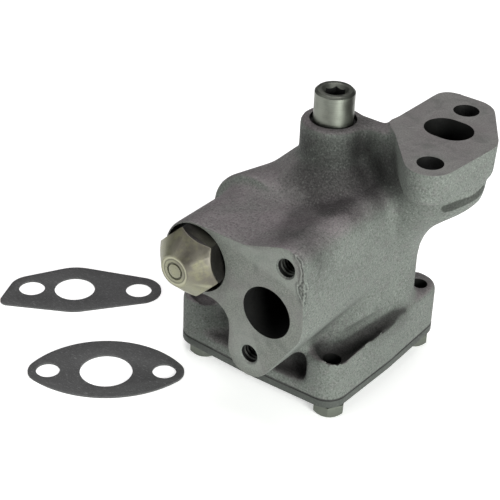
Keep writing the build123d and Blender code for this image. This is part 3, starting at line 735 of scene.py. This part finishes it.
class FittingSettings(bpy.types.PropertyGroup):
    """Colours and edge sizes of the steel parts and the gaskets."""

    edge_round: bpy.props.FloatProperty(
        name="Edge round", description="Width of the small round on machined steel edges",
        default=0.00025, unit="LENGTH", subtype="DISTANCE",
    )
    steel_colour: bpy.props.FloatVectorProperty(
        name="Ground steel", description="Colour of the ground drive shaft",
        default=(0.195, 0.206, 0.178), size=3, subtype="COLOR",
    )
    bolt_colour: bpy.props.FloatVectorProperty(
        name="Bolt steel", description="Colour of the cover bolts", default=(0.135, 0.147, 0.124),
        size=3, subtype="COLOR",
    )
    plug_colour: bpy.props.FloatVectorProperty(
        name="Zinc plate", description="Colour of the plated relief plug",
        default=(0.235, 0.232, 0.170), size=3, subtype="COLOR",
    )
    gasket_colour: bpy.props.FloatVectorProperty(
        name="Gasket fibre", description="Colour of the gasket sheet",
        default=(0.066, 0.066, 0.067), size=3, subtype="COLOR",
    )
    rotor_colour: bpy.props.FloatVectorProperty(
        name="Sintered iron", description="Colour of the two rotors", default=(0.40, 0.40, 0.39),
        size=3, subtype="COLOR",
    )


class StageSettings(bpy.types.PropertyGroup):
    """Camera and studio light."""

    lens: bpy.props.FloatProperty(
        name="Lens", description="Focal length of the camera, for a sensor 36 mm wide",
        default=109.84, unit="CAMERA",
    )
    key_watts: bpy.props.FloatProperty(
        name="Right softbox", description="Power of the softbox at the right front", default=9.7,
        unit="POWER",
    )
    fill_watts: bpy.props.FloatProperty(
        name="Left softbox", description="Power of the softbox at the left front", default=2.1,
        unit="POWER",
    )
    top_watts: bpy.props.FloatProperty(
        name="Top softbox", description="Power of the softbox overhead", default=4.2, unit="POWER"
    )
    world_level: bpy.props.FloatProperty(
        name="Studio walls", description="Brightness of the white studio all round", default=0.07
    )
    floor_colour: bpy.props.FloatVectorProperty(
        name="Floor", description="Colour of the plain floor", default=(0.93, 0.93, 0.93), size=3,
        subtype="COLOR",
    )


# The cast body


def stretch_face(piece, axis, level, outward, reach):
    """Carries a machined face past its plane, so that softening leaves its edge nearly sharp."""
    normal = Vector([0.0, 0.0, 0.0])
    normal[axis] = outward
    place = mm(level)
    enter_edit()
    select_where(
        piece,
        "FACE",
        lambda face: face.normal.dot(normal) > 0.99
        and all(abs(corner.co[axis] - place) < mm(0.01) for corner in face.verts),
    )
    bpy.ops.mesh.extrude_region_move(
        TRANSFORM_OT_translate={"value": normal * mm(reach)}
    )
    leave_edit()


def stop_up_holes():
    """Fills the mouths of all bores, so that only the outer skin is softened."""
    front = PICKUP_FACE_Y - FRONT_REACH
    above = BLOCK_FACE_Z + BLOCK_FACE_REACH
    below = JOINT_FACE_Z - JOINT_FACE_REACH
    bars = [
        *(along_z(BLOCK_HOLE_STOP_R, hole, FLANGE_UNDERSIDE_Z, above) for hole in BLOCK_HOLES),
        along_z(OUTLET_STOP_R, OUTLET, FLANGE_UNDERSIDE_Z + 0.5, above),
        along_y(INLET_STOP_R, INLET, front, -44.0),
        *(along_y(TAP_DRILL_STOP_R, hole, front, -36.0) for hole in TAPPED_HOLES),
        along_y(PLUG_RECESS_STOP_R, RELIEF, front, -40.0),
        along_z(BOSS_STOP_R, (0, 0), -20.0, BOSS_TOP_Z),
        along_z(CHAMBER_STOP_R, (CHAMBER_X, 0), below, -70.0),
    ]
    for corner in COVER_BOLTS:
        head = POCKET_FLOOR_Z if corner[1] < 0 else PAD_TOP_Z
        bars.append(along_z(BOLT_HOLE_STOP_R, corner, below, head - 0.4))
    enter_edit()
    for radius, start, end in bars:
        add_bar(radius, point(*start), point(*end))
    leave_edit()


def cut_flat(piece, axis, level, outward):
    """Cuts the skin flat at a machined face."""
    normal = Vector([0.0, 0.0, 0.0])
    normal[axis] = outward
    place = Vector([0.0, 0.0, 0.0])
    place[axis] = mm(level)
    work_on(piece)
    edit_all()
    bpy.ops.mesh.bisect(plane_co=place, plane_no=normal, use_fill=True, clear_outer=True)
    leave_edit()


def new_cutter(name, cutters, materials, finish=1):
    """Takes the object just added as a tool for cutting bores; the cut wall gets the finish."""
    tool = bpy.context.object
    tool.name = name
    settle(tool)
    for material in materials:
        tool.data.materials.append(material)
    for face in tool.data.polygons:
        face.material_index = finish
    for collection in tool.users_collection:
        collection.objects.unlink(tool)
    cutters.objects.link(tool)


def outlet_oval_tool(cutters, materials):
    """Oval mouth of the outlet: a round bar whose two halves are drawn apart."""
    deselect()
    add_bar(OUTLET_R, point(*OUTLET, -12.0), point(*OUTLET, 2.0), sides=96)
    tool = bpy.context.object
    settle(tool)
    middle = mm(OUTLET[0])
    for side in (-1, 1):
        enter_edit()
        select_where(tool, "VERT", lambda corner: (corner.co.x - middle) * side > mm(0.01))
        bpy.ops.transform.translate(value=(side * mm(OUTLET_HALF_STRETCH), 0, 0))
        leave_edit()
    new_cutter("outlet_oval", cutters, materials)


def kidney_tool(side, cutters, materials):
    """Kidney port in the chamber roof: a short block spun round the chamber's axis."""
    deselect()
    half = math.radians(PORT_HALF_ANGLE)
    inner, outer = PORT_INNER_R, PORT_OUTER_R
    foot, head = CHAMBER_ROOF_Z - 1.0, CHAMBER_ROOF_Z + PORT_HEIGHT
    bpy.ops.mesh.primitive_plane_add(size=1.0)
    tool = bpy.context.object
    places = [(inner, foot), (outer, foot), (outer, head), (inner, head)]
    for corner, index in zip(tool.data.vertices, (0, 1, 3, 2)):
        radius, height = places[index]
        turn = side * math.pi / 2 - half
        corner.co = point(
            CHAMBER_X + radius * math.cos(turn), radius * math.sin(turn), height
        )
    edit_all()
    bpy.ops.mesh.spin(
        steps=28, angle=-2 * half, center=point(CHAMBER_X, 0, 0), axis=(0, 0, 1)
    )
    bpy.ops.mesh.select_all(action="SELECT")
    bpy.ops.mesh.normals_make_consistent(inside=False)
    leave_edit()
    new_cutter("kidney_port", cutters, materials)


def bore_tools(materials):
    """All the bores and ports, each as a tool that is taken out of the casting."""
    cutters = bpy.data.collections.new("Bores")
    bpy.context.scene.collection.children.link(cutters)
    ahead = PICKUP_FACE_Y - 2.0
    below = JOINT_FACE_Z - 2.0
    bars = [
        along_y(INLET_R, INLET, ahead, -10.0),
        *RELIEF_PASSAGES,
        along_z(SHAFT_BORE_R, (0, 0), CHAMBER_ROOF_Z - 1.0, 0.5),
        along_z(BOSS_RECESS_R, (0, 0), BOSS_TOP_Z - 1.6, 0.5),
        along_z(CHAMBER_R, (CHAMBER_X, 0), below, CHAMBER_ROOF_Z),
        (PASSAGE_R, OUTLET_FOOT, OUTLET_ELBOW),
        (PASSAGE_R, OUTLET_ELBOW, (*OUTLET, -11.0)),
        *(along_z(BLOCK_HOLE_R, hole, FLANGE_UNDERSIDE_Z - 3.0, 2.0) for hole in BLOCK_HOLES),
        *(along_y(TAP_DRILL_R, hole, ahead, TAPPED_END_Y) for hole in TAPPED_HOLES),
    ]
    for corner in COVER_BOLTS:
        end = POCKET_FLOOR_Z - 2.2 if corner == BLIND_CORNER else -68.0
        bars.append(along_z(BOLT_HOLE_R, corner, below, end))
    bars.append(along_y(PLUG_RECESS_R, RELIEF, ahead, RECESS_FLOOR_Y))
    # Bore walls get the painted shade; the shallow plug recess keeps the cast iron
    for radius, start, end in bars:
        deselect()
        add_bar(radius, point(*start), point(*end), sides=96)
        new_cutter("bore", cutters, materials, finish=0 if radius == PLUG_RECESS_R else 1)
    for x, z in TAPPED_HOLES:
        deselect()
        bpy.ops.mesh.primitive_cone_add(
            vertices=96,
            radius1=mm(4.0),
            radius2=mm(3.0),
            depth=mm(1.0),
            location=point(x, PICKUP_FACE_Y + 0.3, z),
            rotation=(-math.pi / 2, 0, 0),
        )
        new_cutter("countersink", cutters, materials, finish=0)
    for place in (OUTLET_FOOT, OUTLET_ELBOW):
        deselect()
        bpy.ops.mesh.primitive_uv_sphere_add(
            segments=48, ring_count=24, radius=mm(PASSAGE_R), location=point(*place)
        )
        new_cutter("bore_end", cutters, materials)
    outlet_oval_tool(cutters, materials)
    for side in (-1, 1):
        kidney_tool(side, cutters, materials)
    return cutters


def fill_hollows(piece, radius, voxel):
    """Fills hollows to a radius: the skin is swollen, meshed anew and drawn back in."""
    apply_modifier(piece, "Swell", "DISPLACE", strength=radius, mid_level=0.0)
    apply_modifier(piece, "Skin", "REMESH", mode="VOXEL", voxel_size=voxel)
    apply_modifier(piece, "Draw in", "DISPLACE", strength=-radius, mid_level=0.0)
    apply_modifier(piece, "Skin", "REMESH", mode="VOXEL", voxel_size=voxel)


def lengthen_pocket(piece):
    """Runs the pocket at the near bolt hole out along the base's wall, tapering to nothing."""
    deselect()
    start, end = point(*POCKET_START), point(*POCKET_END)
    bpy.ops.mesh.primitive_cone_add(
        vertices=48,
        radius1=mm(POCKET_START_R),
        radius2=mm(POCKET_END_R),
        depth=(end - start).length,
        location=(start + end) / 2,
        rotation=(end - start).to_track_quat("Z", "Y").to_euler(),
    )
    channel = bpy.context.object
    settle(channel)
    apply_modifier(
        piece, "Pocket", "BOOLEAN", operation="DIFFERENCE", solver="EXACT", object=channel
    )
    bpy.data.objects.remove(channel)


class PUMP_OT_cast_body(bpy.types.Operator):
    """Model the cast body with soft cast edges, flat machined faces and all its bores"""

    bl_idname = "pump.cast_body"
    bl_label = "Cast body"

    def execute(self, context):
        settings = context.scene.pump_casting
        body = copy_of_node("pump_body", "cast_body")
        faces = [
            (2, BLOCK_FACE_Z, 1, BLOCK_FACE_REACH),
            (1, PICKUP_FACE_Y, -1, FRONT_REACH),
            (2, JOINT_FACE_Z, -1, JOINT_FACE_REACH),
        ]
        for axis, level, outward, reach in faces:
            stretch_face(body, axis, level, outward, reach)
        stop_up_holes()
        apply_modifier(body, "Skin", "REMESH", mode="VOXEL", voxel_size=settings.voxel)
        lengthen_pocket(body)
        fill_hollows(body, settings.fillet, settings.voxel)
        apply_modifier(
            body, "Soften", "SMOOTH", factor=0.5, iterations=settings.softening
        )
        for axis, level, outward, _ in faces:
            cut_flat(body, axis, level, outward)
        materials = [cast_iron_finish(settings), bore_shade_finish()]
        for material in materials:
            body.data.materials.append(material)
        cutters = bore_tools(materials)
        apply_modifier(
            body,
            "Bores",
            "BOOLEAN",
            operation="DIFFERENCE",
            solver="EXACT",
            operand_type="COLLECTION",
            collection=cutters,
        )
        for tool in list(cutters.objects):
            bpy.data.objects.remove(tool)
        bpy.data.collections.remove(cutters)
        smooth_by_angle(body, 40)
        finish_piece(body, "housing", "pump_body", slot="cast_iron")
        return {"FINISHED"}


# Cover, bolts, shaft, plug, gaskets, rotors


class PUMP_OT_cover(bpy.types.Operator):
    """Finish the cover plate with broken edges"""

    bl_idname = "pump.cover"
    bl_label = "Cover plate"

    def execute(self, context):
        cover = copy_of_node("cover_plate", "cover")
        round_edges(cover, mm(COVER_EDGE))
        settings = context.scene.pump_casting
        plate = Finish("cover_iron")
        colour = shade(settings.skin_colour, 0.46)
        sand = plate.noise(0.8, detail=4.0, roughness=0.6)
        cloud = plate.noise(12.0, detail=3.0)
        tone = plate.ramp(cloud, (0.3, shade(colour, 0.8)), (0.7, shade(colour, 1.15)))
        tone = plate.mix(
            plate.step(sand, 0.55, 0.72, 0.0, 0.5), tone, shade(colour, 1.5)
        )
        edge = plate.step(plate.corners(), 0.53, 0.62, 0.0, 0.4)
        tone = plate.mix(edge, tone, shade(colour, 1.9))
        plate.set(Metallic=0.3)
        seam = plate.step(
            plate.axis("Z"), mm(JOINT_FACE_Z - 0.5), mm(JOINT_FACE_Z - 0.2), 0.0, 0.9
        )
        tone = plate.mix(seam, tone, shade(colour, 0.12))
        rough = plate.step(sand, 0.3, 0.75, 0.72, 0.5)
        cover.data.materials.append(
            plate.done(tone, rough, plate.bump(sand, 0.10, strength=0.7))
        )
        finish_piece(cover, "housing", "cover_plate", slot="cast_iron")
        return {"FINISHED"}


class PUMP_OT_cover_bolts(bpy.types.Operator):
    """Finish the four hexagon bolts of the cover"""

    bl_idname = "pump.cover_bolts"
    bl_label = "Cover bolts"

    def execute(self, context):
        settings = context.scene.pump_fittings
        bolts = copy_of_node("cover_bolts", "hexagon_bolts")
        round_edges(bolts, BOLT_EDGE_SHARE * settings.edge_round, degrees=24)
        bolts.data.materials.append(
            turned_steel_finish(
                "bolt_steel_satin",
                tuple(settings.bolt_colour),
                roughness=0.38,
                metallic=0.8,
                grime_and_shade=0.6,
            )
        )
        finish_piece(bolts, "housing", "cover_bolts", slot="bolt_steel")
        return {"FINISHED"}


class PUMP_OT_drive_shaft(bpy.types.Operator):
    """Finish the ground drive shaft with its hexagonal socket"""

    bl_idname = "pump.drive_shaft"
    bl_label = "Drive shaft"

    def execute(self, context):
        settings = context.scene.pump_fittings
        shaft = copy_of_node("drive_shaft", "ground_shaft")
        round_edges(shaft, settings.edge_round)
        steel = turned_steel_finish(
            "ground_shaft_steel", tuple(settings.steel_colour), roughness=0.34
        )
        shaft.data.materials.append(steel)
        # The socket's inside gets the painted shade of the bores
        shaft.data.materials.append(bore_shade_finish())
        for face in shaft.data.polygons:
            across = math.hypot(face.center.x, face.center.y)
            if across < mm(3.8) and face.center.z < mm(7.6):
                face.material_index = 1
        finish_piece(shaft, "drive", "drive_shaft", slot="ground_steel")
        return {"FINISHED"}


class PUMP_OT_relief_plug(bpy.types.Operator):
    """Finish the plated hexagon plug of the relief valve"""

    bl_idname = "pump.relief_plug"
    bl_label = "Relief plug"

    def execute(self, context):
        settings = context.scene.pump_fittings
        plug = copy_of_node("relief_plug", "hexagon_plug")
        round_edges(plug, PLUG_EDGE_SHARE * settings.edge_round)
        plug.data.materials.append(plated_finish(settings))
        finish_piece(plug, "housing", "relief_plug", slot="plated_steel")
        return {"FINISHED"}


class PUMP_OT_gaskets(bpy.types.Operator):
    """Finish the two loose gaskets"""

    bl_idname = "pump.gaskets"
    bl_label = "Gaskets"

    def execute(self, context):
        fibre = fibre_finish(context.scene.pump_fittings)
        for node, name, body in (
            ("inlet_gasket", "pickup_gasket", "pickup_seal"),
            ("block_gasket", "mounting_gasket", "block_seal"),
        ):
            gasket = copy_of_node(node, name)
            round_edges(gasket, mm(GASKET_EDGE))
            gasket.data.materials.append(fibre)
            finish_piece(gasket, body, node, slot="gasket_fibre")
        return {"FINISHED"}


class PUMP_OT_valve_spring(bpy.types.Operator):
    """Finish the relief valve's spring and give it a mesh of its own"""

    bl_idname = "pump.valve_spring"
    bl_label = "Relief spring"

    def execute(self, context):
        steel = tuple(context.scene.pump_fittings.steel_colour)
        spring = copy_of_node("relief_spring", "valve_spring")
        smooth_by_angle(spring, 75)
        spring.data.materials.append(
            turned_steel_finish("spring_wire", shade(steel, 0.6), axis="Y", roughness=0.35)
        )
        finish_piece(spring, "housing", "relief_spring", slot="ground_steel")
        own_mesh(spring)
        return {"FINISHED"}


class PUMP_OT_inner_parts(bpy.types.Operator):
    """Give the rotors, the pin and the relief plunger their finishes"""

    bl_idname = "pump.inner_parts"
    bl_label = "Rotors, pin and relief plunger"

    def execute(self, context):
        settings = context.scene.pump_fittings
        steel = tuple(settings.steel_colour)
        rotors = tuple(settings.rotor_colour)
        finishes = {
            "inner_rotor": sintered_finish("inner_rotor_iron", rotors),
            "outer_rotor": sintered_finish("outer_rotor_iron", shade(rotors, 0.85)),
            "rotor_pin": turned_steel_finish("pin_steel", steel, axis="X"),
            "relief_plunger": turned_steel_finish("plunger_steel", steel, axis="Y"),
        }
        for node, material in finishes.items():
            piece = frame["nodes"][node]
            for slot in piece.material_slots:
                slot.material = material
        return {"FINISHED"}


class PUMP_OT_tapped_threads(bpy.types.Operator):
    """Wind the thread ridges into the two tapped holes of the pickup flange"""

    bl_idname = "pump.tapped_threads"
    bl_label = "Threads of the tapped holes"

    def execute(self, context):
        deselect()
        bpy.ops.mesh.primitive_circle_add(
            vertices=3,
            radius=mm(0.62),
            fill_type="NOTHING",
            location=point(THREAD_CREST_R, 0, 0),
            rotation=(0, 0, math.pi / 2),
        )
        ridge = context.object
        ridge.name = "thread_ridge_low"
        settle(ridge)
        edit_all()
        bpy.ops.transform.resize(
            value=(0.6, 1, 1), center_override=point(THREAD_CREST_R, 0, 0)
        )
        leave_edit()
        apply_modifier(
            ridge,
            "Thread",
            "SCREW",
            axis="Y",
            angle=-2 * math.pi,
            screw_offset=mm(THREAD_PITCH),
            iterations=THREAD_TURNS,
            steps=40,
            render_steps=40,
            use_merge_vertices=False,
        )
        taper_ridge_ends(ridge, THREAD_TURNS * THREAD_PITCH)
        x, z = TAPPED_HOLES[0]
        ridge.location = point(x, PICKUP_FACE_Y + 1.5, z)
        settle(ridge)
        smooth_by_angle(ridge)
        # Painted shade: the thread ridges are near-black, for the shade deep in the holes
        ridge.data.materials.append(
            turned_steel_finish(
                "tapped_iron", (0.045, 0.047, 0.042), axis="Y", roughness=0.5, metallic=0.6
            )
        )
        second = ridge.copy()
        second.data = ridge.data.copy()
        second.name = "thread_ridge_high"
        add_to_scene(second)
        second.location = point(TAPPED_HOLES[1][0] - x, 0, TAPPED_HOLES[1][1] - z)
        settle(second)
        for piece in (ridge, second):
            finish_piece(piece, "housing", slot="cast_iron")
        return {"FINISHED"}


def taper_ridge_ends(ridge, length):
    """Closes both ends of a wound ridge and runs them out into the wall."""
    enter_edit()
    bpy.ops.mesh.select_mode(type="VERT")
    bpy.ops.mesh.select_all(action="SELECT")
    bpy.ops.mesh.fill_holes(sides=0)
    for end in (0.0, mm(length)):
        select_where(
            ridge,
            "VERT",
            lambda corner: abs(corner.co.y - end) < mm(0.6)
            and abs(corner.co.z) < mm(0.01)
            and corner.co.x > 0,
        )
        bpy.ops.transform.resize(
            value=(0.2, 0.2, 0.2), center_override=(mm(THREAD_WALL_R), end, 0)
        )
    bpy.ops.mesh.select_all(action="SELECT")
    bpy.ops.mesh.normals_make_consistent(inside=False)
    leave_edit()


# Stage


def softbox(name, watts, place, width, height, colour):
    """Rectangular area light that points at the pump."""
    light = bpy.data.lights.new(name, "AREA")
    light.shape = "RECTANGLE"
    light.size = mm(width)
    light.size_y = mm(height)
    light.energy = watts
    light.color = colour
    lamp = bpy.data.objects.new(name, light)
    add_to_scene(lamp)
    lamp.location = point(*place)
    run = point(*LIGHT_TARGET) - point(*place)
    lamp.rotation_euler = run.to_track_quat("-Z", "Y").to_euler()


def photo_camera(lens):
    """Camera at the photograph's viewing angle."""
    data = bpy.data.cameras.new("photo_view")
    data.lens = lens
    data.sensor_width = 36.0
    data.clip_start = mm(5)
    data.clip_end = 20.0
    camera = bpy.data.objects.new("photo_view", data)
    add_to_scene(camera)
    azimuth, pitch, roll = (math.radians(angle) for angle in CAMERA_ANGLES)
    level = Vector((math.cos(azimuth), math.sin(azimuth), 0.0))
    forward = Vector((-math.sin(azimuth), math.cos(azimuth), 0.0))
    ahead = math.cos(pitch) * forward - math.sin(pitch) * Vector((0.0, 0.0, 1.0))
    over = level.cross(ahead)
    right = math.cos(roll) * level + math.sin(roll) * over
    upward = -math.sin(roll) * level + math.cos(roll) * over
    turn = Matrix((right, upward, -ahead)).transposed()
    camera.matrix_world = Matrix.Translation(point(*CAMERA_PLACE)) @ turn.to_4x4()
    bpy.context.scene.camera = camera


def floor_sheet(settings):
    """Plain floor that the pump and the gaskets stand on."""
    ground = cad_box[0][2]
    deselect()
    bpy.ops.mesh.primitive_plane_add(size=6.0, location=(0, 0, ground))
    floor = bpy.context.object
    floor.name = "studio_floor"
    settle(floor)
    paper = Finish("floor_paper")
    colour = tuple(settings.floor_colour)
    tooth = paper.noise(1.2, detail=3.0)
    tone = paper.ramp(tooth, (0.3, shade(colour, 0.995)), (0.7, colour))
    paper.set(Specular_IOR_Level=0.0, Emission_Color=(1, 1, 1, 1), Emission_Strength=0.42)
    floor.data.materials.append(paper.done(tone, paper.step(tooth, 0.0, 1.0, 0.9, 1.0), None))


class PUMP_OT_stage(bpy.types.Operator):
    """Set the floor, the soft studio light and the camera"""

    bl_idname = "pump.stage"
    bl_label = "Studio"

    def execute(self, context):
        settings = context.scene.pump_stage
        floor_sheet(settings)
        for name, power, *where, colour in SOFTBOXES:
            softbox(name, getattr(settings, power), *where, colour)
        world = bpy.data.worlds.new("white_studio")
        world.use_nodes = True
        background = world.node_tree.nodes["Background"]
        background.inputs["Color"].default_value = (1.0, 1.0, 1.0, 1.0)
        background.inputs["Strength"].default_value = settings.world_level
        context.scene.world = world
        context.scene.view_settings.view_transform = "Standard"
        photo_camera(settings.lens)
        return {"FINISHED"}


# Add-on

STEPS = [
    PUMP_OT_cast_body,
    PUMP_OT_tapped_threads,
    PUMP_OT_cover,
    PUMP_OT_cover_bolts,
    PUMP_OT_drive_shaft,
    PUMP_OT_relief_plug,
    PUMP_OT_gaskets,
    PUMP_OT_valve_spring,
    PUMP_OT_inner_parts,
    PUMP_OT_stage,
]


class PUMP_PT_sidebar(bpy.types.Panel):
    """Lists the steps that make the pump, and its sizes and colours"""

    bl_label = "Engine oil pump"
    bl_idname = "PUMP_PT_sidebar"
    bl_space_type = "VIEW_3D"
    bl_region_type = "UI"
    bl_category = "Oil pump"

    def draw(self, context):
        layout = self.layout
        for step in STEPS:
            layout.operator(step.bl_idname)
        for settings in (
            context.scene.pump_casting, context.scene.pump_fittings, context.scene.pump_stage
        ):
            box = layout.box()
            for name in settings.__annotations__:
                box.prop(settings, name)


CLASSES = [CastingSettings, FittingSettings, StageSettings, *STEPS, PUMP_PT_sidebar]


def register():
    for entry in CLASSES:
        bpy.utils.register_class(entry)
    bpy.types.Scene.pump_casting = bpy.props.PointerProperty(type=CastingSettings)
    bpy.types.Scene.pump_fittings = bpy.props.PointerProperty(type=FittingSettings)
    bpy.types.Scene.pump_stage = bpy.props.PointerProperty(type=StageSettings)


def unregister():
    del bpy.types.Scene.pump_stage
    del bpy.types.Scene.pump_fittings
    del bpy.types.Scene.pump_casting
    for entry in reversed(CLASSES):
        bpy.utils.unregister_class(entry)


def main():
    register()
    bpy.ops.pump.cast_body()
    bpy.ops.pump.tapped_threads()
    bpy.ops.pump.cover()
    bpy.ops.pump.cover_bolts()
    bpy.ops.pump.drive_shaft()
    bpy.ops.pump.relief_plug()
    bpy.ops.pump.gaskets()
    bpy.ops.pump.valve_spring()
    bpy.ops.pump.inner_parts()
    bpy.ops.pump.stage()


if __name__ == "__main__":
    main()
